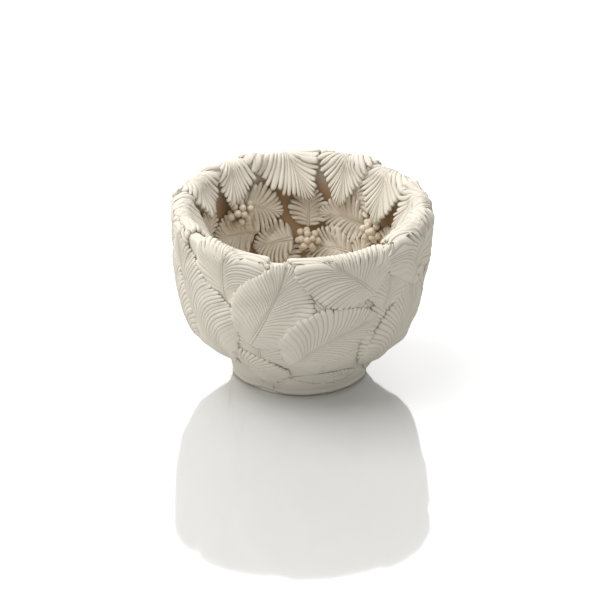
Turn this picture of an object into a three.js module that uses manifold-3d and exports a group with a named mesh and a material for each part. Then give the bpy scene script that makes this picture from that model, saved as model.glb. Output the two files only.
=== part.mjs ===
// A small hand-built porcelain bowl: a thrown body on an attached foot ring, clad outside, over the rim and
// inside with separately moulded leaf sprigs, and set inside with clusters of round buds on stalks.
// Millimetres, +Z up. The origin is the centre of the foot's underside, and -Y is the bowl's front.
//
// Every place on the bowl is given on its skin, the surface that the sprigs are laid on:
//   turn   the angle round the bowl in degrees, 0 at the front, growing towards +X
//   along  the distance in mm along the wall, from the foot's lower edge up the outside, over the lip and
//          down the inside to the middle of the floor
//   lift   the height above the skin
import * as THREE from "three";
import { mergeVertices } from "three/addons/utils/BufferGeometryUtils.js";
import Module from "manifold-3d";

const wasm = await Module();
wasm.setup();

// ---- Driving dimensions, in mm ----
const FOOT_RADIUS = 31.5; // outer radius of the foot ring where it meets the table
const FOOT_HEIGHT = 6.5;
const FOOT_BORE = 23; // radius of the hollow under the foot
const BELLY_RADIUS = 59; // widest radius of the thrown body
const BODY_HEIGHT = 85.5; // mean height of the body's lip
const WALL = 6; // thickness of the thrown wall
const FLOOR_TOP = 13; // height of the floor inside
const LIP_RISE = 1.3; // how far the lip rises at the back and dips at the front
const LIP_SWAY = 0.5; // the lip's smaller waves
const LIP_FLARE = 1.5; // how much wider the lip is than the belly
const LEAF_THICK = 1.5; // thickness of one leaf sprig
const SLIP_GAP = 0.45; // room left for the slip between two layers
const DRAPE_SLOPE = 0.45; // the steepest that a leaf bends down off the layers beneath it

const RAD = Math.PI / 180;
const smooth = (x) => {
  const t = Math.min(1, Math.max(0, x));
  return t * t * (3 - 2 * t);
};

// ---- The skin ----
// The wall's section, as [radius, height]: foot, outer wall, lip, inner wall, floor.
const WALL_TOP = BODY_HEIGHT - WALL / 2; // where the round of the lip starts
const LIP_RADIUS = BELLY_RADIUS + LIP_FLARE - WALL / 2; // radius of the middle of the lip
const lipPoint = (degrees) => [
  LIP_RADIUS + (WALL / 2) * Math.cos(degrees * RAD),
  WALL_TOP + (WALL / 2) * Math.sin(degrees * RAD),
];
const SECTION = [
  [FOOT_RADIUS, 0.6],
  [FOOT_RADIUS + 0.6, FOOT_HEIGHT * 0.8],
  [FOOT_RADIUS + 4.5, FOOT_HEIGHT * 1.7],
  [BELLY_RADIUS * 0.79, BODY_HEIGHT * 0.25],
  [BELLY_RADIUS * 0.915, BODY_HEIGHT * 0.42],
  [BELLY_RADIUS * 0.98, BODY_HEIGHT * 0.6],
  [BELLY_RADIUS, BODY_HEIGHT * 0.78],
  ...[0, 45, 90, 135, 180].map(lipPoint),
  [BELLY_RADIUS - WALL, BODY_HEIGHT * 0.78],
  [BELLY_RADIUS * 0.98 - WALL, BODY_HEIGHT * 0.6],
  [BELLY_RADIUS * 0.9 - WALL, BODY_HEIGHT * 0.42],
  [BELLY_RADIUS * 0.73 - WALL, BODY_HEIGHT * 0.265],
  [BELLY_RADIUS * 0.5 - WALL, FLOOR_TOP + 2],
  [BELLY_RADIUS * 0.2, FLOOR_TOP],
  [0, FLOOR_TOP],
].map(([r, z]) => new THREE.Vector2(r, z));

const curve = new THREE.SplineCurve(SECTION);
curve.arcLengthDivisions = 900;
const WHOLE = curve.getLength();
const STEPS = 600;
const samples = curve.getSpacedPoints(STEPS);
// The distance along the wall of the lip's highest point.
const LIP = (samples.reduce((best, p, i) => (p.y > samples[best].y ? i : best), 0) / STEPS) * WHOLE;

// Radius and height of the section at a distance along it.
function sectionAt(along) {
  const x = Math.min(STEPS - 1e-6, Math.max(0, (along / WHOLE) * STEPS));
  const i = Math.floor(x);
  return samples[i].clone().lerp(samples[i + 1], x - i);
}

// The bare skin at a turn and a distance along the wall: the section turned round the axis, with the lip
// raised at the back and waved by hand.
function skin(turn, along) {
  const { x: r, y: z } = sectionAt(along);
  const a = turn * RAD;
  const high = smooth((z - BODY_HEIGHT * 0.3) / (BODY_HEIGHT * 0.7));
  const sway = 0.5 * Math.sin(5 * a) - Math.cos(3 * a + 0.4);
  const wave = LIP_SWAY * sway - LIP_RISE * Math.cos(a);
  const pull = 1 + 0.008 * high * Math.cos(3 * a + 0.6);
  return new THREE.Vector3(r * pull * Math.sin(a), -r * pull * Math.cos(a), z + wave * high);
}

// A point at a lift above the skin, along its outward normal.
function onSkin(turn, along, lift = 0) {
  const p = skin(turn, along);
  if (!lift) return p;
  const round = skin(turn + 0.5, along).sub(skin(turn - 0.5, along));
  const up = skin(turn, along + 0.4).sub(skin(turn, along - 0.4));
  return p.addScaledVector(round.cross(up).normalize(), lift);
}

// ---- Geometry helpers ----
// A closed surface from rows of points: each row is a ring (closed) and `caps` are the points that close
// the first and the last row.
function ringSolid(rows, caps) {
  const positions = rows.flat().concat(caps);
  const n = rows[0].length;
  const index = [];
  for (let i = 0; i < rows.length - 1; i++)
    for (let j = 0; j < n; j++) {
      const [a, b] = [i * n + j, i * n + ((j + 1) % n)];
      index.push(a, b, b + n, a, b + n, a + n);
    }
  const [first, last] = [rows.length * n, rows.length * n + 1];
  for (let j = 0; j < n; j++) {
    const k = (j + 1) % n;
    index.push(first, k, j);
    index.push(last, last - 2 - (n - 1) + j, last - 2 - (n - 1) + k);
  }
  return new THREE.BufferGeometry().setFromPoints(positions).setIndex(index);
}

// A ring closed on itself both ways, such as a foot ring: `rows` go round its section.
function torusSolid(rows) {
  const n = rows[0].length;
  const index = [];
  for (let i = 0; i < rows.length; i++)
    for (let j = 0; j < n; j++) {
      const [a, b] = [i * n + j, i * n + ((j + 1) % n)];
      const [c, d] = [((i + 1) % rows.length) * n + j, ((i + 1) % rows.length) * n + ((j + 1) % n)];
      index.push(a, b, d, a, d, c);
    }
  return new THREE.BufferGeometry().setFromPoints(rows.flat()).setIndex(index);
}

// A closed plate from two grids of points of one size, `top` seen from outside and `under` behind it.
function plateSolid(top, under) {
  const [rows, cols] = [top.length, top[0].length];
  const count = rows * cols;
  const at = (i, j) => i * cols + j;
  const index = [];
  for (let i = 0; i < rows - 1; i++)
    for (let j = 0; j < cols - 1; j++) {
      const [a, b, c, d] = [at(i, j), at(i, j + 1), at(i + 1, j + 1), at(i + 1, j)];
      index.push(a, b, c, a, c, d);
      index.push(a + count, c + count, b + count, a + count, d + count, c + count);
    }
  const edge = [];
  for (let j = 0; j < cols - 1; j++) edge.push(at(0, j));
  for (let i = 0; i < rows - 1; i++) edge.push(at(i, cols - 1));
  for (let j = cols - 1; j > 0; j--) edge.push(at(rows - 1, j));
  for (let i = rows - 1; i > 0; i--) edge.push(at(i, 0));
  edge.forEach((a, k) => {
    const b = edge[(k + 1) % edge.length];
    index.push(b, a, a + count, b, a + count, b + count);
  });
  return new THREE.BufferGeometry().setFromPoints([...top.flat(), ...under.flat()]).setIndex(index);
}

// ---- Thrown parts ----
const TURNS = 42; // facets round the bowl
const turns = Array.from({ length: TURNS }, (_, j) => (j * 360) / TURNS);
const JOINT = 11; // distance along the wall where the body sits on the foot ring

const aroundAt = (r, z) =>
  turns.map((t) => new THREE.Vector3(r * Math.sin(t * RAD), -r * Math.cos(t * RAD), z));

function bodyGeometry() {
  const stations = [];
  for (let s = JOINT; s < LIP - 5; s += 7.5) stations.push(s);
  for (let s = LIP - 4.8; s < LIP + 5; s += 1.2) stations.push(s);
  for (let s = LIP + 8; s < WHOLE - 4; s += 7.5) stations.push(s);
  const underside = FOOT_HEIGHT + 0.3;
  const rows = [aroundAt(FOOT_BORE * 0.5, underside), aroundAt(FOOT_RADIUS - 1, underside)];
  stations.forEach((s) => rows.push(turns.map((t) => skin(t, s))));
  return ringSolid(rows, [new THREE.Vector3(0, 0, underside), new THREE.Vector3(0, 0, FLOOR_TOP)]);
}

function footGeometry() {
  const section = [
    [FOOT_BORE + 1, 0],
    [FOOT_RADIUS - 1.2, 0],
    [FOOT_RADIUS, 0.6],
    [FOOT_RADIUS + 0.4, FOOT_HEIGHT * 0.6],
    [FOOT_RADIUS + 0.2, FOOT_HEIGHT],
    [FOOT_BORE, FOOT_HEIGHT],
  ];
  return torusSolid(section.map(([r, z]) => aroundAt(r, z)));
}

// ---- Leaf sprigs ----
// The sprigs are laid in the order of these lists, each over whatever lies beneath it. `rib` is the midrib's
// base, middle and tip as [turn, along], or its base and tip where it is straight. `wide` is how far the leaf
// reaches to the left and to the right of its midrib, looking from base to tip.
const lowerLeaves = [
  { rib: [[-24, 8], [-31, 25], [-36, 42]], wide: [11, 18] },
  { rib: [[46, 12], [18, 16], [-9, 15]], wide: [6, 6] },
  { rib: [[66, 8], [76, 42]], wide: [14, 14] },
  { rib: [[98, 8], [110, 42]], wide: [14, 14] },
  { rib: [[132, 8], [145, 42]], wide: [14, 14] },
  { rib: [[166, 8], [179, 42]], wide: [14, 14] },
  { rib: [[200, 8], [213, 42]], wide: [14, 14] },
  { rib: [[234, 8], [246, 42]], wide: [14, 14] },
  { rib: [[268, 8], [276, 42]], wide: [14, 14] },
  { rib: [[302, 14], [300, 46]], wide: [14, 14] },
];
const innerLeaves = [
  // on the inside of the wall, at the back
  { rib: [[151, LIP + 27], [146, LIP + 9]], wide: [10, 10] },
  { rib: [[215, LIP + 20], [190, LIP + 27]], wide: [11, 11] },
  { rib: [[176, LIP + 35], [175, LIP + 14]], wide: [10, 10] },
  { rib: [[141, LIP + 30], [170, LIP + 26]], wide: [12, 12] },
  { rib: [[206, LIP + 35], [242, LIP + 31]], wide: [12, 12] },
  { rib: [[184, LIP + 40], [210, LIP + 42]], wide: [11, 11] },
  { rib: [[148, LIP + 44], [180, LIP + 43]], wide: [10, 10] },
  // on the inside of the wall, at the sides and the front
  { rib: [[262, LIP + 46], [258, LIP + 18]], wide: [11, 11] },
  { rib: [[296, LIP + 46], [288, LIP + 18]], wide: [12, 12] },
  { rib: [[330, LIP + 46], [318, LIP + 18]], wide: [12, 12] },
  { rib: [[368, LIP + 46], [350, LIP + 20]], wide: [11, 11] },
  { rib: [[30, LIP + 46], [34, LIP + 18]], wide: [12, 12] },
  { rib: [[62, LIP + 46], [72, LIP + 18]], wide: [12, 12] },
  { rib: [[98, LIP + 46], [104, LIP + 18]], wide: [12, 12] },
  // on the slope down to the floor
  { rib: [[204, LIP + 70], [214, LIP + 48]], wide: [11, 11] },
  { rib: [[154, LIP + 70], [142, LIP + 50]], wide: [11, 11] },
  { rib: [[102, LIP + 70], [110, LIP + 48]], wide: [11, 11] },
  { rib: [[52, LIP + 70], [58, LIP + 48]], wide: [11, 11] },
  { rib: [[2, LIP + 70], [10, LIP + 48]], wide: [11, 11] },
];
// A rim leaf's midrib is given by its turns at its base, at the lip and at its tip, and by how far its base
// and its tip lie from the lip.
const rimLeaf = (turns, drop, hang, wide) => ({
  rib: [[turns[0], LIP - drop], [turns[1], LIP], [turns[2], LIP + hang]],
  wide,
});
const STAND_OFF = 7; // how far a rim leaf's tip stands off the inside of the wall
const firstRimLeaves = [
  rimLeaf([274, 283, 298], 36, 13, [24, 30]),
  rimLeaf([323, 326, 338], 30, 20, [18, 27]),
  rimLeaf([137, 131, 126], 36, 24, [19, 19]),
  rimLeaf([220, 217, 228], 36, 16, [16, 17]),
  rimLeaf([153, 156, 155], 36, 20, [15, 15]),
  rimLeaf([247, 243, 251], 36, 14, [17, 18]),
  rimLeaf([92, 98, 104], 36, 22, [20, 20]),
  rimLeaf([192, 185, 174], 36, 16, [20, 20]),
];
const bellyLeaves = [
  { rib: [[-42, 26], [-63, 53], [-68, 89]], wide: [20, 34] },
  { rib: [[-26, 45], [-13, 70], [-6, 89]], wide: [18, 20] },
  { rib: [[52, 15], [61, 44], [60, 78]], wide: [25, 15] },
  { rib: [[42, 62], [46, 86]], wide: [12, 12] },
  { rib: [[-5, 33], [14, 50], [38, 60]], wide: [20, 15] },
  { rib: [[104, 23], [90, 78]], wide: [18, 18] },
  { rib: [[152, 23], [166, 78]], wide: [18, 18] },
  { rib: [[212, 23], [236, 76]], wide: [18, 18] },
  { rib: [[287, 24], [280, 76]], wide: [15, 16] },
  { rib: [[120, 25], [140, 80]], wide: [18, 18] },
  { rib: [[196, 24], [182, 76]], wide: [18, 18] },
  { rib: [[250, 24], [259, 73]], wide: [15, 11] },
];
const lastRimLeaves = [
  rimLeaf([61, 66, 62], 28, 13, [26, 22]),
  rimLeaf([36, 10, -9], 24, 13, [20, 24]),
];

// A midrib's [turn, along] at a share of its length: the quadratic through its points, whose middle one is
// at the share that its distance along the wall gives, or halfway.
function ribAt({ rib }, share) {
  const [base, tip] = [rib[0], rib[rib.length - 1]];
  if (rib.length === 2) return base.map((b, k) => b + (tip[k] - b) * share);
  const mid = rib[1][1] === LIP ? (LIP - base[1]) / (tip[1] - base[1]) : 0.5;
  const weights = [
    ((share - mid) * (share - 1)) / mid,
    (share * (share - 1)) / (mid * (mid - 1)),
    (share * (share - mid)) / (1 - mid),
  ];
  return [0, 1].map((k) => rib.reduce((sum, point, i) => sum + weights[i] * point[k], 0));
}

// The height already laid above the skin, in cells of 1 degree by 1 mm.
const CELL = 1;
const laid = Array.from({ length: 360 / CELL }, () => new Float32Array(Math.ceil(WHOLE / CELL) + 1));
// The cells within `reach` cells of each [turn, along] point.
function cellsNear(points, reach) {
  const cells = [];
  for (const [turn, along] of points)
    for (let i = -reach; i <= reach; i++)
      for (let j = -reach; j <= reach; j++) {
        const a = THREE.MathUtils.euclideanModulo(Math.round(turn / CELL) + i, laid.length);
        const b = Math.round(along / CELL) + j;
        if (b >= 0 && b < laid[0].length) cells.push([a, b]);
      }
  return cells;
}
const highest = (points) => cellsNear(points, 1).reduce((most, [a, b]) => Math.max(most, laid[a][b]), 0);

// The [turn, along] points that fill the patch between four corners, closer together than the cells.
function fill(corners) {
  const points = [];
  for (let u = 0; u <= 1; u += 0.1)
    for (let v = 0; v <= 1; v += 0.1) {
      const mix = (k) => {
        const [a, b, c, d] = corners.map((corner) => corner[k]);
        return (a * (1 - v) + b * v) * (1 - u) + (c * (1 - v) + d * v) * u;
      };
      points.push([mix(0), mix(1)]);
    }
  return points;
}

// A sprig laid on the skin from rows of [turn, along]. Each patch of it rests on the layers beneath it, or
// stands off the skin by its row's `stand` where this is more, and bends no more steeply than clay does.
function sprigGeometry(rows, stand) {
  const lifts = rows.map((row, i) => row.map(() => SLIP_GAP + stand[i]));
  const raise = ([i, j], height) => {
    lifts[i][j] = Math.max(lifts[i][j], height);
  };
  const patches = [];
  const links = [];
  for (let i = 0; i < rows.length; i++)
    for (let j = 0; j < rows[i].length; j++) {
      const [right, down] = [j + 1 < rows[i].length, i + 1 < rows.length];
      if (right) links.push([[i, j], [i, j + 1]]);
      if (down) links.push([[i, j], [i + 1, j]]);
      if (right && down) patches.push([[i, j], [i, j + 1], [i + 1, j], [i + 1, j + 1]]);
    }
  const filled = patches.map((corners) => fill(corners.map(([i, j]) => rows[i][j])));
  patches.forEach((corners, k) => {
    const rest = SLIP_GAP + highest(filled[k]);
    corners.forEach((corner) => raise(corner, rest));
  });
  const steps = links.map(([[i, j], [k, l]]) => onSkin(...rows[i][j]).distanceTo(onSkin(...rows[k][l])));
  for (let pass = 0; pass < rows.length; pass++)
    links.forEach(([one, other], k) => {
      raise(one, lifts[other[0]][other[1]] - DRAPE_SLOPE * steps[k]);
      raise(other, lifts[one[0]][one[1]] - DRAPE_SLOPE * steps[k]);
    });
  patches.forEach((corners, k) => {
    const top = LEAF_THICK + Math.max(...corners.map(([i, j]) => lifts[i][j]));
    for (const [a, b] of cellsNear(filled[k], 0)) laid[a][b] = Math.max(laid[a][b], top);
  });
  const surface = (extra) => rows.map((row, i) => row.map(([t, s], j) => onSkin(t, s, lifts[i][j] + extra)));
  return plateSolid(surface(LEAF_THICK), surface(0));
}

// A leaf's reach beside its midrib at a share of its length, as a part of its widest: narrow at the base,
// widest at two fifths, pointed.
const reachAt = (share) => Math.max(0.16, Math.sin(Math.PI * (0.03 + 0.94 * share) ** 0.8) ** 0.75);
// The columns of a leaf's grid, from its left edge to its right edge: 7 on a wide leaf and 5 on others.
const columnsOf = ({ wide }) => {
  const half = Math.max(...wide) >= 20 ? 3 : 2;
  return Array.from({ length: 2 * half + 1 }, (_, k) => k / half - 1);
};
const besides = ({ wide }, c, share) => c * reachAt(share) * (c < 0 ? wide[0] : wide[1]);

// A leaf that lies on the wall. Its tip curls up off it.
function wallLeafGeometry(leaf, count, curl) {
  const shares = Array.from({ length: count + 1 }, (_, i) => i / count);
  const rows = shares.map((share) => {
    const [turn, along] = ribAt(leaf, share);
    const [back, on] = [ribAt(leaf, share - 0.01), ribAt(leaf, share + 0.01)];
    const radius = sectionAt(along).x;
    const run = new THREE.Vector2((on[0] - back[0]) * RAD * radius, on[1] - back[1]).normalize();
    return columnsOf(leaf).map((c) => {
      const x = besides(leaf, c, share);
      const s = along - run.x * x;
      return [turn + (run.y * x) / sectionAt(s).x / RAD, s];
    });
  });
  return sprigGeometry(rows, shares.map((share) => curl * share * share));
}

// A leaf folded over the rim. Its rows follow the wall, close together round the lip, and its tip hangs
// clear of the lining.
function rimLeafGeometry(leaf) {
  const drop = LIP - leaf.rib[0][1];
  const hang = leaf.rib[2][1] - LIP;
  const below = [1, 0.78, 0.56, 0.36].map((part) => -part * drop);
  const offsets = [...below, -7.5, -5, -3, -1, 1, 3, 5, 7.5, (7.5 + hang) / 2, hang];
  const rows = offsets.map((d) => {
    const share = (d + drop) / (drop + hang);
    const [turn, along] = ribAt(leaf, share);
    const turnAt = (c) => turn + besides(leaf, c, 0.06 + 0.9 * share) / sectionAt(along).x / RAD;
    return columnsOf(leaf).map((c) => [turnAt(c), along]);
  });
  return sprigGeometry(rows, offsets.map((d) => STAND_OFF * smooth((d - 2) / (hang - 2))));
}

// ---- Bud clusters ----
// A cluster is one sprig: round buds on short stalks that fan out of a small pad of clay.
const BUD = 1.7; // radius of a bud
const STALK = 4.4; // length of a stalk
const PAD = 2.8; // radius of the pad
const budClusters = [
  { turn: 219, along: LIP + 24 },
  { turn: 176, along: LIP + 40 },
  { turn: 134, along: LIP + 30 },
  { turn: 276, along: LIP + 33 },
  { turn: 48, along: LIP + 33 },
  { turn: 236, along: LIP + 46 },
];

function solidOf(geometry) {
  const bare = geometry.clone();
  ["normal", "uv"].forEach((name) => bare.deleteAttribute(name));
  const merged = mergeVertices(bare, 1e-4);
  return new wasm.Manifold(
    new wasm.Mesh({
      numProp: 3,
      vertProperties: merged.getAttribute("position").array,
      triVerts: new Uint32Array(merged.index.array),
    }),
  );
}

function geometryOf(solid) {
  const mesh = solid.getMesh();
  const g = new THREE.BufferGeometry();
  g.setAttribute("position", new THREE.BufferAttribute(new Float32Array(mesh.vertProperties), 3));
  return g.setIndex(new THREE.BufferAttribute(new Uint32Array(mesh.triVerts), 1));
}

// A solid turned from a profile of [radius, height], standing along +Z.
const turned = (profile, sides) =>
  new THREE.LatheGeometry(
    profile.map(([r, z]) => new THREE.Vector2(r, z)),
    sides,
  ).rotateX(Math.PI / 2);

// The whole cluster, standing on the XY plane.
function clusterSolid() {
  let whole = solidOf(turned([[0, 0], [PAD, 0], [PAD * 0.7, 1.4], [0, 1.6]], 8));
  const top = STALK + BUD;
  const stalk = [[0, 0], [0.8, 0], [0.6, STALK - BUD * 0.6], [BUD, STALK], [BUD * 0.8, top - 0.6], [0, top]];
  const ring = (count, tilt, start) =>
    Array.from({ length: count }, (_, k) => [tilt, start + (k * 360) / count]);
  for (const [tilt, spin] of [...ring(1, 0, 0), ...ring(4, 38, 10), ...ring(5, 70, 46)]) {
    const piece = turned(stalk, 5).rotateX(tilt * RAD).rotateZ(spin * RAD);
    whole = whole.add(solidOf(piece.translate(0, 0, 0.9)));
  }
  return whole;
}

// The cluster's geometry set on the skin, clear of the layers round it.
function clusterGeometry({ turn, along }, solid) {
  const reach = STALK + BUD + 1;
  const points = [];
  for (let u = -1; u <= 1; u += 0.25)
    for (let v = -1; v <= 1; v += 0.25)
      points.push([turn + (u * reach) / sectionAt(along).x / RAD, along + v * reach]);
  const lift = SLIP_GAP + highest(points);
  const foot = onSkin(turn, along, lift);
  const out = onSkin(turn, along, lift + 1).sub(foot).normalize();
  const stand = new THREE.Quaternion().setFromUnitVectors(new THREE.Vector3(0, 0, 1), out);
  return geometryOf(solid).applyQuaternion(stand).translate(foot.x, foot.y, foot.z);
}

// ---- The bowl ----
const body = new THREE.MeshStandardMaterial({ color: 0xd8cfc0, roughness: 0.8, metalness: 0 });
const leaf = new THREE.MeshStandardMaterial({ color: 0xe2dbcd, roughness: 0.75, metalness: 0 });
const lining = new THREE.MeshStandardMaterial({ color: 0xdccdb4, roughness: 0.75, metalness: 0 });
const bud = new THREE.MeshStandardMaterial({ color: 0xddcdb2, roughness: 0.7, metalness: 0 });

const bowl = new THREE.Group();
function add(name, geometry, material) {
  const mesh = new THREE.Mesh(geometry, material);
  mesh.name = name;
  bowl.add(mesh);
}
const addAll = (name, list, geometry, material, from = 1) =>
  list.forEach((item, k) => add(`${name}_${String(k + from).padStart(2, "0")}`, geometry(item), material));

add("thrown_body", bodyGeometry(), body);
add("foot_ring", footGeometry(), body);
addAll("lower_leaf", lowerLeaves, (l) => wallLeafGeometry(l, 6, 0), leaf);
addAll("inner_leaf", innerLeaves, (l) => wallLeafGeometry(l, 5, 2), lining);
const cluster = clusterSolid();
addAll("bud_cluster", budClusters, (c) => clusterGeometry(c, cluster), bud);
addAll("rim_leaf", firstRimLeaves, rimLeafGeometry, leaf);
addAll("belly_leaf", bellyLeaves, (l) => wallLeafGeometry(l, 8, 0), leaf);
addAll("rim_leaf", lastRimLeaves, rimLeafGeometry, leaf, firstRimLeaves.length + 1);

export default bowl;
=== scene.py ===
"""A small hand-built porcelain bowl, clad outside, over the rim and inside with moulded leaf sprigs, and set
inside with clusters of buds on stalks.

Lengths are in mm until a mesh is written. +Z is up and -Y is the bowl's front. A place on the bowl is given
on its wall by three numbers: the turn round the bowl in degrees, 0 at the front and growing towards +X; the
distance along the wall, from the foot up the outside, over the lip and down the inside; and the lift off it.
"""

import bpy
import numpy as np
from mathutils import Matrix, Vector


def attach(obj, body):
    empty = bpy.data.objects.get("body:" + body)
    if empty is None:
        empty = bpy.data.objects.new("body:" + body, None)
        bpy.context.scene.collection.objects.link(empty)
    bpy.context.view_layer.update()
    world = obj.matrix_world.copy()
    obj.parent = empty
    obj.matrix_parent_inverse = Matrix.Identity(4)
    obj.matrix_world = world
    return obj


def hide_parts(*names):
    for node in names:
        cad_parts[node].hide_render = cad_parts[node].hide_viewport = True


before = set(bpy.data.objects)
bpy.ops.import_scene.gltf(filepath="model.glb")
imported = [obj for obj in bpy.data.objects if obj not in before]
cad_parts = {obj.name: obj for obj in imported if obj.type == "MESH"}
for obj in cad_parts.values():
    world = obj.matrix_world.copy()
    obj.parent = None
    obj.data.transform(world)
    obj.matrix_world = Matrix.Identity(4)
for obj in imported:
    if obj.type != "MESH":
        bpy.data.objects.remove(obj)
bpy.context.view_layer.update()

# ---- The wall ----
FOOT_RADIUS, FOOT_HEIGHT = 31.5, 6.5
FOOT_BORE = 23.0  # radius of the hollow under the foot
BELLY_RADIUS = 59.0  # widest radius of the thrown body
BODY_HEIGHT = 85.5  # mean height of its lip
WALL = 6.0  # how thick it is thrown
FLOOR_TOP = 13.0  # height of the floor inside
LIP_RISE = 1.3  # how far the lip rises at the back and dips at the front
LIP_SWAY = 0.5  # the lip's smaller waves
BACK_RISE = 1.1  # half of how much higher still the finished rim stands at the back
LIP_FLARE = 2.3  # how much wider the lip is than the belly


def ease(x):
    """0 below 0, 1 above 1, and 3x^2 - 2x^3 between."""
    t = np.clip(x, 0, 1)
    return t * t * (3 - 2 * t)


def spline(points, steps):
    """The uniform Catmull-Rom spline through the points: on each span the cubic whose end slopes are half the
    chord between the neighbours."""
    padded = np.vstack([points[:1], points, points[-1:]])
    p0, p1, p2, p3 = (padded[k : len(padded) - 3 + k, None] for k in range(4))
    t = np.linspace(0, 1, steps, endpoint=False)[None, :, None]
    v0, v1 = (p2 - p0) / 2, (p3 - p1) / 2
    cubic = (2 * p1 - 2 * p2 + v0 + v1) * t**3 + (3 * p2 - 3 * p1 - 2 * v0 - v1) * t**2 + v0 * t + p1
    return np.vstack([cubic.reshape(-1, 2), points[-1:]])


def wall_section():
    """The wall's section as radius and height against distance along it: the spline through a few points on
    the foot, the outside, the half circle of the lip, the inside and the floor."""
    f, b, h = FOOT_RADIUS, BELLY_RADIUS, BODY_HEIGHT
    foot = [[f, 0.6], [f + 0.6, FOOT_HEIGHT * 0.8], [f + 4.5, FOOT_HEIGHT * 1.7]]
    outside = [[b * 0.79, h * 0.25], [b * 0.915, h * 0.42], [b * 0.98, h * 0.6], [b, h * 0.78]]
    around = np.radians([0, 45, 90, 135, 180])
    half = WALL / 2
    lip = np.column_stack([b + LIP_FLARE + half * (np.cos(around) - 1), h + half * (np.sin(around) - 1)])
    inside = [[b - WALL, h * 0.78], [b * 0.98 - WALL, h * 0.6], [b * 0.9 - WALL, h * 0.42]]
    floor = [[b * 0.73 - WALL, h * 0.265], [b * 0.5 - WALL, FLOOR_TOP + 2]]
    floor += [[b * 0.2, FLOOR_TOP], [0, FLOOR_TOP]]
    line = spline(np.vstack([foot, outside, lip, inside, floor]), 80)
    steps = np.linalg.norm(np.diff(line, axis=0), axis=1)
    return np.append(0, np.cumsum(steps)), line[:, 0], line[:, 1]


ALONG, RADIUS, HEIGHT = wall_section()
WHOLE = ALONG[-1]
LIP = ALONG[np.argmax(HEIGHT)]


def skin(turn, along):
    """The bare wall: its section turned round the axis and pulled a little out of round, with the lip raised
    at the back and waved. Waves and pull grow from none, three tenths of the way up, to full at the lip."""
    radius, height = np.interp(along, ALONG, RADIUS), np.interp(along, ALONG, HEIGHT)
    a = np.radians(turn)
    high = ease((height - BODY_HEIGHT * 0.3) / (BODY_HEIGHT * 0.7))
    wave = LIP_SWAY * (0.5 * np.sin(5 * a) - np.cos(3 * a + 0.4)) - LIP_RISE * np.cos(a)
    wave = wave + BACK_RISE * (1 - np.cos(a)) * high
    radius = radius * (1 + 0.008 * high * np.cos(3 * a + 0.6))
    return np.stack([radius * np.sin(a), -radius * np.cos(a), height + wave * high], -1)


def off_wall(turn, along, lift):
    """A place on the wall moved out by its lift along the normal, the cross product of a small step round the
    wall and one along it."""
    across = skin(turn + 0.5, along) - skin(turn - 0.5, along)
    up = skin(turn, along + 0.4) - skin(turn, along - 0.4)
    normal = np.cross(across, up)
    normal /= np.linalg.norm(normal, axis=-1, keepdims=True) + 1e-9
    return skin(turn, along) + normal * np.asarray(lift)[..., None]


# ---- Layers of clay on the wall ----
# How high the clay lies on the wall is kept in a field of cells, one for each step of turn and of distance.
CELL = 0.5  # a cell's size in degrees and in mm
LEAF_GAP = 0.1  # slip between two layers of clay
DEEPEST = 3.8  # the most that pressed layers build up to under a leaf


def away(turn, middle, spread):
    """1 at a turn, falling off as a Gaussian to both sides of it."""
    return np.exp(-(((turn - middle + 180) % 360 - 180) / spread) ** 2)


def swell(turn, along):
    """How far the clay swells where the body grows out of the foot, 8 mm along, and how far it is pared away
    above that, 24 mm along and less at the front: two Gaussian bumps."""
    grown = 1.4 * np.exp(-(((along - 8) / 5.5) ** 2))
    pared = 3.6 * np.exp(-(((along - 24) / 11) ** 2)) * (1 - 0.75 * away(turn, 12, 42))
    return grown - pared


cell_turns = np.arange(int(360 / CELL)) * CELL
cell_alongs = np.arange(int(WHOLE / CELL) + 2) * CELL
ground = swell(*np.meshgrid(cell_turns, cell_alongs, indexing="ij"))


def smeared(field, reach, spread):
    """The field's highest value within reach cells, then its average with weights that fall off as a Gaussian
    of the given spread in cells. The field closes on itself round the bowl."""
    tail = int(2.5 * spread)
    edge = reach + tail
    wide = np.pad(np.pad(field, ((edge, edge), (0, 0)), "wrap"), ((0, 0), (edge, edge)), "edge")
    for axis in (0, 1):
        wide = np.max([np.roll(wide, k, axis) for k in range(-reach, reach + 1)], axis=0)
    taps = np.arange(-tail, tail + 1)
    weights = np.exp(-0.5 * (taps / spread) ** 2)
    for axis in (0, 1):
        wide = sum(w * np.roll(wide, k, axis) for w, k in zip(weights / weights.sum(), taps))
    return wide[edge:-edge, edge:-edge]


def read_at(field, turn, along):
    """The field at each place, between its four cells in proportion."""
    a = np.mod(turn / CELL, field.shape[0])
    b = np.clip(along / CELL, 0, field.shape[1] - 1.001)
    i, j = np.floor(a).astype(int) % field.shape[0], np.floor(b).astype(int)
    u, v = a - np.floor(a), b - j
    k = (i + 1) % field.shape[0]
    near = field[i, j] * (1 - v) + field[i, j + 1] * v
    return near * (1 - u) + (field[k, j] * (1 - v) + field[k, j + 1] * v) * u


def beneath(turn, along):
    """How high the layers that are already laid stand at each place, smoothed as a damp leaf bridges them."""
    return read_at(smeared(ground, 1, 2.2), turn, along)


def raise_ground(turn, along, top):
    """Raises the ground to the top of a layer. The columns are filled in four times finer than the net."""
    for w in (0, 0.25, 0.5, 0.75):
        t, s, h = (g[:, :-1] * (1 - w) + g[:, 1:] * w for g in (turn, along, top))
        i = np.round(t / CELL).astype(int) % ground.shape[0]
        j = np.clip(np.round(s / CELL).astype(int), 0, ground.shape[1] - 1)
        np.maximum.at(ground, (i, j), h)


# ---- Meshes ----
MM = 0.001  # in metres


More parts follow.
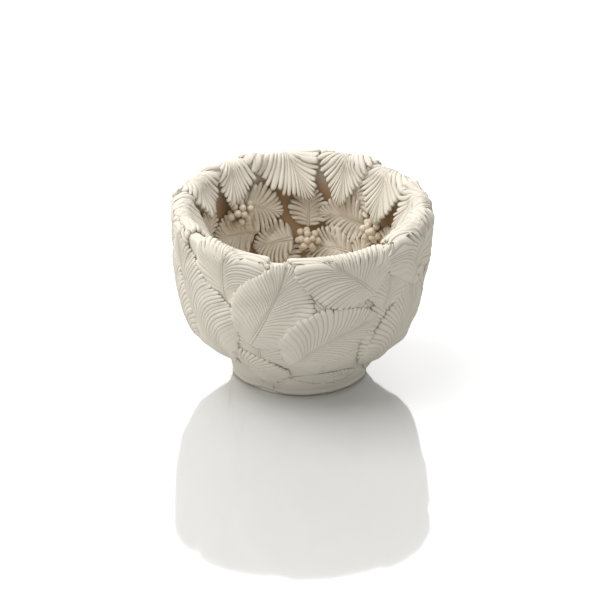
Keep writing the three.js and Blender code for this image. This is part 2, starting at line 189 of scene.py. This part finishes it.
def net_faces(rows, columns):
    """The triangles of a net of points whose rows are rings: two to each square."""
    i, j = np.meshgrid(np.arange(rows - 1), np.arange(columns), indexing="ij")
    a, b = i * columns + j, i * columns + (j + 1) % columns
    pairs = [np.stack([a, b, b + columns], -1), np.stack([a, b + columns, a + columns], -1)]
    return np.concatenate(pairs).reshape(-1, 3)


def joined(shapes):
    """Several shapes as one. A shape is its points, its faces and how much painted shade each point takes."""
    points, faces, painted_shade_and_brown = zip(*shapes)
    starts = np.cumsum([0] + [len(p) for p in points])
    moved = [f + start for f, start in zip(faces, starts)]
    return np.concatenate(points), np.concatenate(moved), np.concatenate(painted_shade_and_brown)


def piece(name, node, clay, shape):
    """An object from a shape in mm and a clay, which is a material and its slot; the slot is not used. Points
    that meet are welded, the faces are turned outwards by the sign of the volume that they close, and how
    much painted shade each point takes (on the body's bare inside partly the clay's own brown) is kept on the
    mesh."""
    material, slot = clay
    points, faces, painted_shade_and_brown = shape
    _, first, weld = np.unique(np.round(points, 3), axis=0, return_index=True, return_inverse=True)
    points, painted_shade_and_brown, faces = points[first] * MM, painted_shade_and_brown[first], weld.reshape(-1)[faces]
    faces = faces[(faces[:, 0] != faces[:, 1]) & (faces[:, 1] != faces[:, 2]) & (faces[:, 2] != faces[:, 0])]
    a, b, c = (points[faces[:, k]] for k in range(3))
    if np.einsum("ij,ij->", a, np.cross(b, c)) < 0:
        faces = faces[:, ::-1]
    mesh = bpy.data.meshes.new(name)
    mesh.from_pydata(points, [], faces)
    mesh.shade_smooth()
    # Painted shade, on the body's bare inside partly the clay's own brown, kept per point for the finish.
    mesh.attributes.new("painted_shade_and_brown", "FLOAT", "POINT").data.foreach_set("value", painted_shade_and_brown.astype(np.float32))
    mesh.materials.append(material)
    thing = bpy.data.objects.new(name, mesh)
    bpy.context.scene.collection.objects.link(thing)
    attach(thing, "root")
    if node:
        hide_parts(node)


# ---- Finishes ----
MOTTLE, GRAIN = 55.0, 1400.0  # how many blotches and grains there are to a metre


class Value:
    """A number in a shader. A product adds a Math node."""

    def __init__(self, finish, socket):
        self.finish, self.socket = finish, socket

    def __mul__(self, other):
        return self.finish.add("ShaderNodeMath", {"operation": "MULTIPLY"}, {0: self, 1: other})

    __rmul__ = __mul__


class Finish:
    """One material and its nodes."""

    def __init__(self, name):
        self.material = bpy.data.materials.new(name)
        self.material.use_nodes = True
        self.tree = self.material.node_tree
        self.tree.nodes.clear()

    def add(self, kind, settings, inputs, output=0):
        """A node of a type with its settings, then the values or links of its sockets; its chosen output."""
        node = self.tree.nodes.new(kind)
        for key, value in settings.items():
            setattr(node, key, value)
        for key, value in inputs.items():
            if isinstance(value, Value):
                self.tree.links.new(value.socket, node.inputs[key])
            else:
                node.inputs[key].default_value = value
        return Value(self, node.outputs[output]) if node.outputs else None

    def blend(self, factor, first, second):
        """One colour fading into another by a factor."""
        inputs = {0: factor, 6: first, 7: second}
        return self.add("ShaderNodeMix", {"data_type": "RGBA"}, inputs, 2)


def bisque(name, slot, tone, shade, roughness):
    """Unglazed porcelain: the clay's tone, faintly mottled, going towards a brownish painted shade in
    grooves, recesses, leaf backs and bud stalks (on the body's bare inside partly the clay's own brown), with
    a fine grain. It comes with its slot."""
    finish = Finish(name)
    place = finish.add("ShaderNodeTexCoord", {}, {}, "Object")
    cloud = finish.add("ShaderNodeTexNoise", {}, {"Vector": place, "Scale": MOTTLE, "Detail": 3.0})
    grain = finish.add("ShaderNodeTexNoise", {}, {"Vector": place, "Scale": GRAIN, "Detail": 2.0})
    painted_shade_and_brown = finish.add("ShaderNodeAttribute", {"attribute_name": "painted_shade_and_brown"}, {}, "Fac")
    mottled = finish.blend(cloud * 0.35, (*tone, 1), (*[c * 0.9 for c in tone], 1))
    # Painted shade: the colour goes towards the shade colour as far as the mesh's attribute says.
    colour = finish.blend(painted_shade_and_brown, mottled, (*shade, 1))
    normal = finish.add("ShaderNodeBump", {}, {"Strength": 0.25, "Distance": 0.0001, "Height": grain})
    inputs = {"Base Color": colour, "Roughness": roughness, "Normal": normal, "IOR": 1.5}
    inputs["Specular IOR Level"] = 0.3
    surface = finish.add("ShaderNodeBsdfPrincipled", {}, inputs)
    finish.add("ShaderNodeOutputMaterial", {}, {"Surface": surface})
    return finish.material, slot


# The second colour of each finish is the painted shade that its grooves and recesses are darkened towards.
# The inner clay is the same porcelain painted lighter, as painted light for the inside, where less light
# reaches.
PALE = (0.70, 0.655, 0.565)
BODY = bisque("bisque_body", "porcelain_body", PALE, (0.44, 0.29, 0.165), 0.8)
LEAF = bisque("bisque_leaf", "porcelain_leaf", PALE, (0.42, 0.34, 0.24), 0.75)
LIT_INNER_CLAY = bisque("bisque_lining", "porcelain_lining", (0.76, 0.70, 0.59), (0.40, 0.26, 0.15), 0.75)
BUD = bisque("bisque_bud", "porcelain_bud", (0.73, 0.64, 0.51), (0.38, 0.24, 0.13), 0.7)


# ---- Body and foot ----
def hand_marks(turn, along):
    """The unevenness that hands leave, in mm: four long crossed waves."""
    a = np.radians(turn)
    waves = np.sin(2 * a + along / 9) + np.sin(5 * a - along / 6 + 1) + 0.7 * np.sin(9 * a + along / 4 + 2)
    return 0.13 * waves + 0.05 * np.sin(17 * a - along / 3)


def body_shape():
    """The thrown body: the wall's skin from just above the table over the lip to the middle of the floor,
    with the marks of the hands on it. Its clay is drawn down over the foot ring: it flares at the left, and
    its lower edge lifts a little at the front left and is cracked there. Inside the foot a flat ceiling
    closes it. Where it is bare inside, from below the lip to where the floor begins, it is painted brown,
    partly as painted shade and partly as the clay's own brown, and the crack is darkened with painted shade."""
    turn, along = np.meshgrid(np.arange(0, 360, 0.75), np.arange(0.4, WHOLE + 0.8, 1.1), indexing="xy")
    flare = ease((13 - along) / 13) * (2.0 * away(turn, -85, 28) + 0.5 * away(turn, 60, 40))
    crack = away(turn, -24.4 + 0.5 * np.sin(along), 0.9) * ease((6 - along) / 3)
    marks = hand_marks(turn, along) * ease((WHOLE - along) / 20) + swell(turn, along) + flare
    wall = off_wall(turn, np.minimum(along, WHOLE), marks - 0.7 * crack)
    wall[..., 2] += ease((7 - along) / 7) * (1.3 * away(turn, -34, 11) + 0.3 * away(turn, 40, 25) - 0.2)
    wall[-1] = [0, 0, FLOOR_TOP]
    a = np.radians(turn[0])
    seat = FOOT_RADIUS - 1.2
    ceiling = [(0, FOOT_HEIGHT), (12, FOOT_HEIGHT), (seat, FOOT_HEIGHT - 0.5), (seat, 2.6)]
    rings = [np.stack([r * np.sin(a), -r * np.cos(a), np.full_like(a, z)], -1) for r, z in ceiling]
    points = np.concatenate([np.array(rings), wall])
    # Painted shade and the clay's own brown on the bare inside, fading towards the floor; painted shade in
    # the crack.
    inside_shade_and_brown = ease((along - LIP - 6) / 14) * ease((WHOLE - along - 22) / 40)
    painted_shade_and_brown = np.concatenate([np.zeros((len(ceiling), turn.shape[1])), np.maximum(inside_shade_and_brown, 0.8 * crack)])
    return points.reshape(-1, 3), net_faces(*points.shape[:2]), painted_shade_and_brown.ravel()


def foot_shape():
    """The foot ring: a section with two rounded lower corners, a little uneven, carried round the axis."""
    a = np.radians(np.arange(0, 360.1, 1.0))
    corner = 1.3
    around = np.radians([180, 210, 240, 270, 300, 330, 360])
    round_x, round_z = corner * np.cos(around), corner + corner * np.sin(around)
    inner = np.column_stack([FOOT_BORE + corner + round_x[:4], round_z[:4]])
    outer = np.column_stack([FOOT_RADIUS - 0.2 - corner + round_x[3:], round_z[3:]])
    above = [[FOOT_RADIUS - 0.3, FOOT_HEIGHT], [FOOT_BORE, FOOT_HEIGHT + 0.5]]
    radius, height = np.vstack([inner, outer, above]).T[:, None, :]
    radius = radius + 0.12 * np.sin(5 * a + 1)[:, None]
    points = np.stack([radius * np.sin(a)[:, None], -radius * np.cos(a)[:, None], height + 0 * radius], -1)
    return points.reshape(-1, 3), net_faces(*points.shape[:2]), np.zeros(points.shape[0] * points.shape[1])


# ---- Kinds of leaf ----
PRESSED = dict(
    pitch=2.25,  # how wide a leaflet is on the midrib
    notch=1.0,  # how deep the edge is cut in between two leaflets
    cut=0.3,  # the most that it is cut, as a share of the leaflet's length
    slit=5,  # how narrow the cut is
    pits=0.14,  # how many of the cuts go nearly three times as deep
    ragged=0.03,  # how unequal the leaflets are in length
    uneven=0.25,  # and in height
    barrel=4.4,  # how flat a leaflet is across, where 2 is round
    groove=0.38,  # how deep the groove between two leaflets is
    blade=0.0,  # how much of the groove is left out near the midrib, where the leaflets are one blade
    thick=1.45,  # how thick the clay is
    root=0.7,  # how much of its thickness it lacks at its base
    rib_at=(0, 0.25, 0.5, 0.75),  # stations across the midrib: its top, its side, its groove and past it
    rib_high=(0.26, 0.18, -0.4),  # how high the first three of them stand
    edge_at=(3.0, 1.5, 0.45, 0),  # stations from where the edge starts to round to where it ends
    edge_high=(0.86, 0.6),  # how high the middle two of them stand, as a share
    stand=0.0,  # how far its tip stands off the wall
    curl=0.0,  # and its two sides
    hang=0.0,  # and its tip inside the rim, where it is folded over
    rise=0.0,  # and its fold on the lip
    wavy=1.0,  # how much it takes of the marks of the hands
    groove_shade=0.5,  # how dark the painted shade in its grooves is
)
SMOOTH = PRESSED | dict(rib_at=(0, 1.0, 2.0, 3.0), rib_high=(0.6, 0.5, 0.18))
LOW = PRESSED | dict(thick=1.1, edge_at=(4.6, 2.8, 1.1, 0), edge_high=(0.66, 0.32), notch=0.5)
FAINT = LOW | dict(thick=0.7, groove=0.45, notch=1.4)
FRONT = PRESSED | dict(pitch=2.4, notch=1.5, barrel=3.4, groove=0.5, thick=1.7, uneven=0.4, hang=7.0)
FRONT |= dict(rise=0.6, groove_shade=0.55, edge_at=(2.4, 1.2, 0.35, 0), pits=0.05)
DOMED = FRONT | dict(hang=9.5, rise=2.6)
FOLDED = FRONT | dict(pitch=3.2, notch=4.8, cut=0.42, ragged=0.06, barrel=2.5, groove=0.65, thick=1.9)
FOLDED |= dict(blade=0.4, uneven=0.6, edge_at=(1.5, 0.8, 0.25, 0), edge_high=(0.88, 0.55))
INNER = FOLDED | dict(pitch=2.8, notch=6.5, cut=0.5, uneven=1.2, stand=2.6, curl=2.0, hang=0.0, groove=0.95)
INNER |= dict(rise=0.0, wavy=0, root=0, barrel=2.2, blade=0.85, groove_shade=0.4)
UNDER_LINING = INNER | dict(curl=0.6, stand=1.0)
# The leaves that are of another kind than the rest of their list.
OWN_KIND = dict(belly_leaf_01=SMOOTH, belly_leaf_03=SMOOTH, lower_leaf_01=SMOOTH, lower_leaf_02=FAINT)
OWN_KIND |= dict(rim_leaf_01=FRONT, rim_leaf_02=FRONT, rim_leaf_09=DOMED, rim_leaf_10=FRONT)


# ---- The shape of a leaf ----
WITHIN = np.array([0, 0.05, 0.16, 0.32, 0.5, 0.68, 0.84, 0.95])  # stations across one leaflet
SPAN = 7  # steps from the midrib to the rounding of the edge
STRAY = 0.17  # the most that a groove strays on the midrib, in leaflets
TIP_START = 0.86  # where the last leaflet leaves the midrib, as a share of the length
NEAR_RIB = (0, 0, 0.25, 0.6, 0.85)  # how deep the grooves are at the stations next to the midrib
NEAR_EDGE = (0.9, 0.7, 0.3)  # and at those next to the edge
BACK_LIFT = -0.25  # how far a leaf's back lies under the top of the layers beneath


def half_leaf(length, width, kind, bend, sweep, seed):
    """One half of a leaf on its own flat net, as five grids: x sideways and y along the midrib, the height of
    its top, how much painted shade it takes in its grooves, and how full, which falls to 0 where the leaflets
    run out.

    A leaflet starts on the midrib, ends on the outline and bends towards the tip on its way, a quadratic
    Bezier curve. The outline is width sin(pi p^0.8)^0.75 at p of the length, and p = 1 - (1 - share)^sweep
    draws the leaflets' ends towards the tip. Across a leaflet at f, the top is cut down to a groove at each
    side by |2f - 1|^barrel, and its end is a rounded scallop."""
    rng = np.random.default_rng(seed)
    count = max(7, int(round(length * 1.15 / kind["pitch"])))
    number = np.append(np.repeat(np.arange(count), len(WITHIN)), np.full(5, count))
    f = np.append(np.tile(WITHIN, count), WITHIN[:5])
    edges = np.arange(count + 2.0)
    edges[1:count] += rng.uniform(-STRAY, STRAY, count - 1)
    share = (edges[number] + f * (edges[number + 1] - edges[number])) / (count + 0.5)
    longer, higher = rng.uniform(-1, 1, (2, count + 1))
    longer[count] = higher[count] = 0

    out = 1 - (1 - share) ** sweep
    foot = np.stack([0 * share, TIP_START * length * share], -1)
    end = np.stack([width * np.clip(np.sin(np.pi * out**0.8), 0, 1) ** 0.75, length * out], -1)
    chord = end - foot
    reach = np.linalg.norm(chord, axis=-1)
    side = np.stack([-chord[:, 1], chord[:, 0]], -1) / np.maximum(reach, 1e-6)[:, None]
    middle = foot + chord * 0.5 + side * (bend * end[:, :1])

    across = np.abs(2 * f - 1)[:, None]
    full = np.minimum(1, reach / 5)[:, None]
    near = np.array(kind["rib_at"]) * (1 + 0.7 * (1 - share) ** 3)[:, None] * full
    far = reach[:, None] - np.array(kind["edge_at"]) * full
    steps = np.linspace(0, 1, SPAN + 1)[1:-1]
    between = near[:, -1:] + (far[:, :1] - near[:, -1:]) * steps
    t = np.hstack([near, between, far]) / np.maximum(reach, 1e-6)[:, None]
    deeper = 1 + 1.8 * (rng.random(count + 2) < kind["pits"])[number + (f > 0.5)]
    notch = np.minimum(kind["notch"] * deeper / np.maximum(reach, 1e-6), kind["cut"])[:, None]
    ragged = kind["ragged"] * longer[number][:, None] * (1 - across**2)
    t = t * (1 - notch * across ** kind["slit"] - ragged)
    flat = (1 - t)[..., None] ** 2 * foot[:, None] + (2 * t * (1 - t))[..., None] * middle[:, None]
    flat = flat + t[..., None] ** 2 * end[:, None]

    n = t.shape[1]
    fall = np.concatenate([np.ones(n - 3), kind["edge_high"], [0]])
    depth = np.concatenate([NEAR_RIB, np.ones(n - len(NEAR_RIB) - len(NEAR_EDGE)), NEAR_EDGE])
    rib = np.concatenate([kind["rib_high"], np.zeros(n - 3)]) * (1 - 0.5 * share[:, None])
    groove = across ** kind["barrel"] * depth * (1 - kind["blade"] * (1 - ease(t / 0.6)))
    top = kind["thick"] + rib - kind["groove"] * groove
    top = top + kind["uneven"] * higher[number][:, None] * (1 - across**4) * t
    thinned = kind["root"] * (1 - ease(share / 0.22)[:, None])
    top = top * (1 - thinned) + thinned * kind["groove"] * groove * 0.8
    # Painted shade: deep in the grooves between leaflets and in the groove beside the midrib, less at the
    # thinned base.
    painted_shade_and_brown = np.clip(groove**2 * (1 - thinned) + (rib < 0) * 0.8, 0, 1)
    return flat[..., 0], flat[..., 1], top * fall * full, painted_shade_and_brown * kind["groove_shade"], full * np.ones(n)


def midrib(points, share):
    """The midrib's turn and distance along the wall at a share of its length: straight through two points, or
    the quadratic through three, the middle one at the share where it crosses the lip or at a half."""
    points = np.array(points, float)
    if len(points) == 2:
        return points[0] + (points[1] - points[0]) * share[..., None]
    m = (points[1, 1] - points[0, 1]) / (points[2, 1] - points[0, 1]) if points[1, 1] == LIP else 0.5
    base, tip = (share - m) * (share - 1) / m, share * (share - m) / (1 - m)
    weights = [base, share * (share - 1) / (m * (m - 1)), tip]
    return sum(w[..., None] * point for w, point in zip(weights, points))


def rib_length(points):
    """The midrib's length in mm, from 60 straight steps on the wall."""
    path = midrib(points, np.linspace(0, 1, 61))
    return np.linalg.norm(np.diff(skin(path[:, 0], path[:, 1]), axis=0), axis=1).sum()


def on_wall(rib, x, share):
    """The turn and the distance along the wall of each place of a leaf: x to the side of its midrib at a
    share of its length, square to the way in which the midrib runs there."""
    place, back, on = (midrib(rib, share + d) for d in (0, -0.01, 0.01))
    radius = np.interp(place[..., 1], ALONG, RADIUS)
    run = (on - back) * np.stack([np.radians(radius), np.ones_like(share)], -1)
    run /= np.linalg.norm(run, axis=-1, keepdims=True)
    along = place[..., 1] - run[..., 0] * x
    turn = place[..., 0] + np.degrees(run[..., 1] * x / np.maximum(8, np.interp(along, ALONG, RADIUS)))
    return turn, along


def leaf_shape(rib, wide, kind, seed, bend=(0.2, 0.2), sweep=(1.7, 1.7)):
    """A leaf laid on the wall. Its two flat halves are carried along its midrib and sideways from it, lifted
    onto the layers beneath, and closed behind by a plain back. Its tip stands off with the cube of the share
    along, and its sides with the square of how far out they are. A leaf that is folded over the rim stands
    off more towards its tip inside, and on the lip by a Gaussian bump. Where it stops lying on the layers and
    stands off, the two heights pass into each other by a rounded step."""
    length = rib_length(rib)
    left, right = (half_leaf(length, wide[k], kind, bend[k], sweep[k], seed + 500 * k) for k in (0, 1))
    left, right = [grid[:, ::-1] for grid in left], [grid[:, 1:] for grid in right]
    x = np.hstack([-left[0], right[0]])
    y, top, painted_shade_and_brown, full = (np.hstack([left[k], right[k]]) for k in (1, 2, 3, 4))
    n = x.shape[1]
    backs = [n - 4, n // 2, 3]
    x, y = np.hstack([x, x[:, backs]]), np.hstack([y, y[:, backs]])
    share = y / length
    turn, along = on_wall(rib, x, share)

    rest = DEEPEST * np.tanh(beneath(turn, along) / DEEPEST) + LEAF_GAP
    stand = swell(turn, along) + kind["stand"] * share**3 + kind["curl"] * (x / max(wide)) ** 2
    if kind["hang"]:
        stand = stand + kind["hang"] * ease((along - LIP - 2) / (rib[-1][1] - LIP - 2))
        stand = stand + kind["rise"] * np.exp(-(((along - LIP + 3) / 10) ** 2))
    lift = np.maximum(stand, rest) + 0.4 * np.exp(-np.abs(stand - rest) / 0.6) - 0.1
    lift = lift + kind["wavy"] * hand_marks(turn + 7 * seed, 1.3 * along)
    covered = kind["thick"] * np.clip(top / kind["thick"] * 1.3, 0, 1)
    raise_ground(turn[:, :n], along[:, :n], lift[:, :n] + covered)
    behind = BACK_LIFT * full[:, : len(backs)]
    points = off_wall(turn, along, lift + np.hstack([top, behind]))
    # The back under the leaf takes painted shade.
    painted_shade_and_brown = np.hstack([painted_shade_and_brown, np.full_like(behind, 0.6)])
    return points.reshape(-1, 3), net_faces(*points.shape[:2]), painted_shade_and_brown.ravel()


# ---- Where the leaves and buds lie ----
# A leaf is its midrib from base to tip as [turn, along], and how far it reaches to the left and to the right
# of it. Some add how far their leaflets bend, and how far they are swept, on the left and on the right.
def inside(base, tip, wide):
    """A leaf inside the bowl: the turn of its base and its tip and how far each lies down from the lip, and
    how far it reaches to both sides."""
    return [[base[0], LIP + base[1]], [tip[0], LIP + tip[1]]], (wide, wide)


def over_rim(turns, drop, hang, *look):
    """A leaf folded over the rim: its turns at its base, at the lip and at its tip, and how far its base and
    its tip lie from the lip."""
    return [[turns[0], LIP - drop], [turns[1], LIP], [turns[2], LIP + hang]], *look


# These lie under the others and show only between them.
undercoat = [([[k * 36 + 12, 22], [k * 36 + 20, 84]], (21, 21)) for k in range(10)]
inner_undercoat = [
    inside((238, 45), (212, 48), 12),
    inside((194, 56), (190, 36), 11),
    inside((148, 56), (138, 34), 11),
    inside((250, 34), (236, 15), 11),
    inside((168, 62), (162, 42), 11),
    inside((120, 46), (124, 24), 12),
    inside((230, 64), (232, 44), 11),
    inside((128, 64), (122, 42), 11),
    inside((258, 66), (262, 46), 11),
    inside((280, 30), (272, 12), 11),
    inside((80, 30), (88, 12), 11),
    inside((22, 34), (16, 14), 11),
    inside((310, 34), (304, 12), 11),
]
# A rosette on the floor, its tips a little up the wall.
floor_leaves = [
    ([[k * 53 + 20, LIP + 101], [k * 50 + 36, LIP + 63 - 3 * (k % 3)]], (15, 14))
    for k in range(7)
]
lower_leaves = [
    ([[-24, 8], [-31, 25], [-36, 42]], (11, 18), (0.1, 0.3), (1.6, 1.6)),
    ([[46, 12], [18, 15], [-9, 14]], (6, 5), (0.2, 0.2), (1.4, 1.4)),
    ([[66, 8], [76, 42]], (14, 14)),
    ([[98, 8], [110, 42]], (14, 14)),
    ([[132, 8], [145, 42]], (14, 14)),
    ([[166, 8], [179, 42]], (14, 14)),
    ([[200, 8], [213, 42]], (14, 14)),
    ([[234, 8], [246, 42]], (14, 14)),
    ([[268, 8], [276, 42]], (14, 14)),
    ([[302, 14], [300, 46]], (14, 14)),
]
inner_leaves = [
    inside((151, 27), (146, 9), 11),
    inside((215, 20), (190, 27), 12),
    inside((176, 35), (175, 14), 11),
    inside((141, 30), (170, 26), 13),
    inside((206, 35), (242, 31), 13),
    inside((184, 40), (210, 42), 12),
    inside((148, 44), (180, 43), 11),
    inside((262, 46), (258, 18), 12),
    inside((296, 46), (288, 18), 13),
    inside((330, 46), (318, 18), 13),
    inside((368, 46), (350, 20), 12),
    inside((30, 46), (34, 18), 13),
    inside((62, 46), (72, 18), 13),
    inside((98, 46), (104, 18), 13),
    inside((204, 70), (214, 47), 12),
    inside((154, 70), (142, 49), 12),
    inside((102, 70), (110, 47), 12),
    inside((52, 70), (58, 47), 12),
    inside((2, 70), (10, 47), 12),
]
# A cluster's turn, how far down from the lip it sits, and how tall it is.
bud_clusters = [(219, 22, 1.3), (176, 40, 1.0), (134, 29, 1.0), (276, 33, 1.0), (48, 33, 1.0), (236, 46, 1.0)]
first_rim_leaves = [
    over_rim([274, 283, 298], 36, 13, (24, 31), (0.2, 0.4), (1.5, 1.4)),
    over_rim([323, 326, 338], 30, 20, (18, 27), (0.1, 0.45), (1.5, 2.0)),
    over_rim([137, 131, 126], 36, 24, (22, 22), (0.25, 0.25), (1.5, 1.5)),
    over_rim([220, 217, 228], 36, 17, (19, 19), (0.25, 0.25), (1.5, 1.5)),
    over_rim([153, 156, 155], 36, 22, (18, 18), (0.25, 0.25), (1.5, 1.5)),
    over_rim([247, 243, 251], 36, 16, (19, 20), (0.25, 0.25), (1.5, 1.5)),
    over_rim([92, 98, 104], 36, 22, (21, 21), (0.25, 0.25), (1.5, 1.5)),
    over_rim([194, 187, 172], 36, 20, (22, 22), (0.25, 0.3), (1.45, 1.45)),
]
belly_leaves = [
    ([[-42, 26], [-63, 53], [-68, 92]], (22, 34), (0.2, 0.3), (1.9, 2.2)),
    ([[-26, 45], [-13, 71], [-6, 96]], (19, 21), (0.15, 0.25), (1.9, 1.6)),
    ([[52, 15], [61, 44], [60, 78]], (25, 15), (0.2, 0.2), (2.6, 1.8)),
    ([[42, 62], [46, 86]], (12, 12), (0.2, 0.2), (1.9, 1.9)),
    ([[-5, 33], [14, 50], [38, 60]], (20, 15), (0.3, 0.2), (1.6, 1.8)),
    ([[104, 23], [90, 84]], (19, 19)),
    ([[152, 23], [166, 84]], (19, 19)),
    ([[212, 23], [236, 82]], (19, 19)),
    ([[286, 24], [278, 78]], (17, 17)),
    ([[120, 25], [140, 84]], (19, 19)),
    ([[196, 24], [182, 82]], (19, 19)),
    ([[250, 23], [261, 82]], (19, 17)),
]
last_rim_leaves = [
    over_rim([61, 66, 63], 28, 13, (32, 22), (0.4, 0.2), (1.8, 1.7)),
    over_rim([36, 11, -9], 24, 14, (20, 24), (0.35, 0.2), (1.9, 1.7)),
]


# ---- Bud clusters ----
RINGS = ((1, 0, 0), (5, 34, 12), (7, 66, 40))  # buds in a ring, how far they lean and where the first one is


def bud_shape(way, foot, length, size):
    """One bud on its stalk: a section turned round the line from foot along way, a stalk that thins and then
    a ball, stretched a little along the line."""
    around = np.linspace(-0.72 * np.pi / 2, np.pi / 2, 9)
    ball = np.column_stack([size * np.cos(around), length + 1.12 * size * np.sin(around)])
    section = np.vstack([[0, -0.6], [0.95, -0.6], [0.75, length * 0.4], ball])
    section[-1, 0] = 0
    way = way / np.linalg.norm(way)
    aside = np.cross(way, [0.31, 0.87, 0.38])
    aside /= np.linalg.norm(aside)
    a = np.linspace(0, 2 * np.pi, 14, endpoint=False)
    ring = np.cos(a)[:, None] * aside + np.sin(a)[:, None] * np.cross(way, aside)
    points = foot + section[:, None, :1] * ring + section[:, None, 1:] * way
    # Painted shade on the stalk, strongest at its foot and fading out on the ball.
    painted_shade_and_brown = np.clip(1 - section[:, 1] / length, 0, 1)[:, None] + 0 * a
    return points.reshape(-1, 3), net_faces(*points.shape[:2]), painted_shade_and_brown.ravel()


def cluster_shape(turn, along, tall, seed):
    """A cluster: a bud straight out and two rings of buds leaning away from it, all a little astray, on one
    pad of clay. `tall` lengthens the stalks."""
    rng = np.random.default_rng(seed)
    t, s = turn + np.linspace(-5, 5, 9)[:, None], along + np.linspace(-4, 4, 9)[None]
    base = beneath(t, s).max() * 0.8
    foot, tip = off_wall(np.full(2, float(turn)), np.full(2, float(along)), np.array([base, base + 1]))
    out = tip - foot
    aside = np.cross(out, [0, 0, 1])
    aside /= np.linalg.norm(aside)
    up = np.cross(aside, out)
    buds = []
    for count, tilt, start in RINGS:
        for spin in start + np.arange(count) * 360 / count + rng.uniform(-9, 9, count):
            lean = np.radians(tilt + rng.uniform(-6, 6))
            turned = np.cos(np.radians(spin)) * aside + np.sin(np.radians(spin)) * up
            way = np.cos(lean) * out + np.sin(lean) * turned
            stalk_foot = foot + out * 0.6 + turned * 0.8 * np.sin(lean)
            buds.append(bud_shape(way, stalk_foot, tall * rng.uniform(4.0, 4.9), rng.uniform(1.65, 1.95)))
    pad = bud_shape(out, foot - out * 2.0, 1.6, 2.9)
    return joined(buds + [pad])


# ---- The bowl ----
def lay_leaves(stem, leaves, kind, clay, start=1):
    """Lays a list of leaves in turn, each over those before it. Those under the others stand for no node."""
    for k, (rib, wide, *bend) in enumerate(leaves, start):
        node = f"{stem}_{k:02d}"
        shape = leaf_shape(rib, wide, OWN_KIND.get(node, kind), 11 * k + len(stem), *bend)
        piece(f"sprig_{node}", node if "under" not in stem else None, clay, shape)


piece("body", "thrown_body", BODY, body_shape())
piece("foot", "foot_ring", BODY, foot_shape())
lay_leaves("undercoat", undercoat, PRESSED, LEAF)
lay_leaves("lower_leaf", lower_leaves, LOW, LEAF)
lay_leaves("floor_under", floor_leaves, UNDER_LINING, LIT_INNER_CLAY)
lay_leaves("inner_undercoat", inner_undercoat, UNDER_LINING, LIT_INNER_CLAY)
lay_leaves("inner_leaf", inner_leaves, INNER, LIT_INNER_CLAY)
for k, (turn, down, tall) in enumerate(bud_clusters, 1):
    piece(f"buds_{k:02d}", f"bud_cluster_{k:02d}", BUD, cluster_shape(turn, LIP + down, tall, 40 + k))
lay_leaves("rim_leaf", first_rim_leaves, FOLDED, LEAF)
lay_leaves("belly_leaf", belly_leaves, PRESSED, LEAF)
lay_leaves("rim_leaf", last_rim_leaves, FOLDED, LEAF, len(first_rim_leaves) + 1)


# ---- Stage, in metres ----
TABLE = 6  # half the table's side
ROOM_LIGHT = 0.67
AIM = Vector((-0.0005, 0, 0.0373))  # what the lens points at
RISE, DISTANCE = np.radians(25.05), 2.451  # how high and how far from it the lens stands


def lamp(name, at, towards, width, height, radiance):
    """A rectangular light that sends out the same radiance from everywhere on it."""
    light = bpy.data.lights.new(name, "AREA")
    light.shape, light.size, light.size_y = "RECTANGLE", width, height
    light.energy = radiance * np.pi * width * height
    thing = bpy.data.objects.new(name, light)
    thing.location = at
    thing.rotation_euler = (Vector(towards) - Vector(at)).to_track_quat("-Z", "Y").to_euler()
    bpy.context.scene.collection.objects.link(thing)


def table():
    """A pale tabletop with a clear gloss."""
    gloss = Finish("floor")
    inputs = {"Base Color": (0.60, 0.60, 0.59, 1), "Roughness": 0.06, "IOR": 1.9}
    surface = gloss.add("ShaderNodeBsdfPrincipled", {}, inputs)
    gloss.add("ShaderNodeOutputMaterial", {}, {"Surface": surface})
    mesh = bpy.data.meshes.new("floor")
    corners = [(-TABLE, -TABLE, 0), (TABLE, -TABLE, 0), (TABLE, TABLE, 0), (-TABLE, TABLE, 0)]
    mesh.from_pydata(corners, [], [(0, 1, 2, 3)])
    mesh.materials.append(gloss.material)
    floor = bpy.data.objects.new("floor", mesh)
    bpy.context.scene.collection.objects.link(floor)


def room():
    """A dim white room around everything."""
    world = bpy.data.worlds.new("room")
    world.use_nodes = True
    background = world.node_tree.nodes["Background"].inputs
    background["Color"].default_value = (1, 1, 1, 1)
    background["Strength"].default_value = ROOM_LIGHT
    bpy.context.scene.world = world


def lens():
    """A long lens in front of the bowl, looking down on it."""
    camera = bpy.data.cameras.new("lens")
    camera.lens, camera.sensor_width, camera.clip_end = 300, 36, 50
    eye = bpy.data.objects.new("lens", camera)
    eye.location = AIM + Vector((0, -np.cos(RISE), np.sin(RISE))) * DISTANCE
    eye.rotation_euler = (AIM - eye.location).to_track_quat("-Z", "Y").to_euler()
    bpy.context.scene.collection.objects.link(eye)
    bpy.context.scene.camera = eye
    bpy.context.scene.view_settings.view_transform = "Standard"


table()
lamp("panel_behind", (0, 1.7, 0.85), (0, 0, 0.6), 1.9, 1.1, 2.6)
lamp("softbox_left", (-0.8, 0.0, 1.35), (0, 0, 0.05), 1.5, 1.5, 3.6)
room()
lens()
